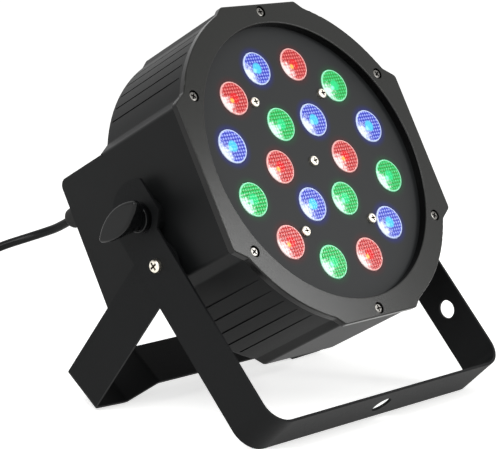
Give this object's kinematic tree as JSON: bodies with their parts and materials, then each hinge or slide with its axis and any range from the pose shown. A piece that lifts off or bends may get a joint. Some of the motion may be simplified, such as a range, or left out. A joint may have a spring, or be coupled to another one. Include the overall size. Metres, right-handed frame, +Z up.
{
  "type": "flat LED stage light",
  "caption": "Flat round stage light with red, green and blue lensed lamps, on a folding double bracket with wing knobs, with its mains cord coiled behind it.",
  "frame": {"origin": "on the floor under the middle of the light, the cord left out", "axes": "+Z up, the lamps face -Y and up, +X to the right of someone who faces the lamps"},
  "size_m": [0.2655, 0.3284, 0.2126],
  "materials": {
    "black_abs": "satin black moulded ABS",
    "charcoal_abs": "satin charcoal moulded ABS",
    "lamp_plate": "dark grey painted steel",
    "bracket_steel": "satin black powder coat",
    "bright_screw": "bright nickel plating",
    "black_screw": "black oxide",
    "red_lens": "red moulded acrylic",
    "green_lens": "green moulded acrylic",
    "blue_lens": "blue moulded acrylic",
    "holder": "black moulded nylon",
    "emitter": "cast silicone",
    "board": "green solder mask on glass fibre",
    "white_board": "white solder mask on aluminium",
    "aluminium": "extruded, plain",
    "brass": "turned, nickel flashed",
    "steel": "zinc plated",
    "component": "moulded epoxy",
    "winding": "yellow winding tape",
    "terminal": "green moulded nylon",
    "display": "dark red display",
    "window": "smoked acrylic",
    "socket": "black glass-filled nylon",
    "contact": "silver plated",
    "knob": "black moulded nylon with a polished face",
    "rubber": "black rubber",
    "cord": "black sheath",
    "nylon": "natural nylon",
    "fan": "black moulded plastic",
    "button": "black moulded plastic"
  },
  "bodies": {
    "stand": {"front_bracket": "bracket_steel", "bracket_screws": "bright_screw", "bracket_nuts": "steel", "bracket_washers": "nylon", "knob_washers": "steel", "power_cord": "cord", "cord_coil": "cord", "plug": "cord", "plug_pins": "contact"},
    "rear_bracket": {"rear_bracket": "bracket_steel"},
    "knob_left": {"knob_left": "knob", "knob_stud_left": "steel"},
    "knob_right": {"knob_right": "knob", "knob_stud_right": "steel"},
    "fan_rotor": {"fan_rotor": "fan"},
    "button_1": {"button_1": "button"},
    "button_2": {"button_2": "button"},
    "button_3": {"button_3": "button"},
    "button_4": {"button_4": "button"},
    "head": {"bezel": "black_abs", "bezel_screws": "bright_screw", "blue_lenses": "blue_lens", "capacitors": "component", "control_board": "board", "control_board_screws": "steel", "cord_gland": "rubber", "display": "display", "display_window": "window", "fan_frame": "fan", "fan_screws": "black_screw", "friction_washers": "rubber", "green_lenses": "green_lens", "heat_sink": "aluminium", "heat_sink_screws": "steel", "housing": "charcoal_abs", "lamp_plate": "lamp_plate", "led_board": "white_board", "led_emitters": "emitter", "lens_holders": "holder", "microphone": "steel", "plate_screws": "bright_screw", "power_board": "board", "power_board_screws": "steel", "rectifier": "component", "red_lenses": "red_lens", "signal_in_pins": "contact", "signal_in_socket": "socket", "signal_out_sleeves": "contact", "signal_out_socket": "socket", "standoffs": "steel", "tact_switches": "component", "terminal_block": "terminal", "tilt_inserts": "brass", "transformer": "winding"}
  },
  "joints": [
    {"name": "head_tilt", "type": "hinge", "parent": "stand", "child": "head", "pos_m": [0, 0.0137, 0.10932], "axis": [-1, 0, 0], "range_deg": [-75, 85], "deforming": ["power_cord"]},
    {"name": "rear_bracket_swing", "type": "hinge", "parent": "stand", "child": "rear_bracket", "pos_m": [0, 0.00187, 0.08613], "axis": [1, 0, 0], "range_deg": [-80, 10]},
    {"name": "knob_left_turn", "type": "hinge", "parent": "stand", "child": "knob_left", "pos_m": [-0.1, 0.0137, 0.10932], "axis": [-1, 0, 0], "range_deg": [-180, 180]},
    {"name": "knob_right_turn", "type": "hinge", "parent": "stand", "child": "knob_right", "pos_m": [0.1, 0.0137, 0.10932], "axis": [1, 0, 0], "range_deg": [-180, 180]},
    {"name": "fan_spin", "type": "hinge", "parent": "head", "child": "fan_rotor", "pos_m": [-0.044, 0.05626, 0.08802], "axis": [0, -0.8643, 0.503], "continuous": true},
    {"name": "button_1_press", "type": "slide", "parent": "head", "child": "button_1", "axis": [0, -0.8643, 0.503], "range_m": [0, 0.0006], "stiffness_N_per_m": 300},
    {"name": "button_2_press", "type": "slide", "parent": "head", "child": "button_2", "axis": [0, -0.8643, 0.503], "range_m": [0, 0.0006], "stiffness_N_per_m": 300},
    {"name": "button_3_press", "type": "slide", "parent": "head", "child": "button_3", "axis": [0, -0.8643, 0.503], "range_m": [0, 0.0006], "stiffness_N_per_m": 300},
    {"name": "button_4_press", "type": "slide", "parent": "head", "child": "button_4", "axis": [0, -0.8643, 0.503], "range_m": [0, 0.0006], "stiffness_N_per_m": 300}
  ]
}
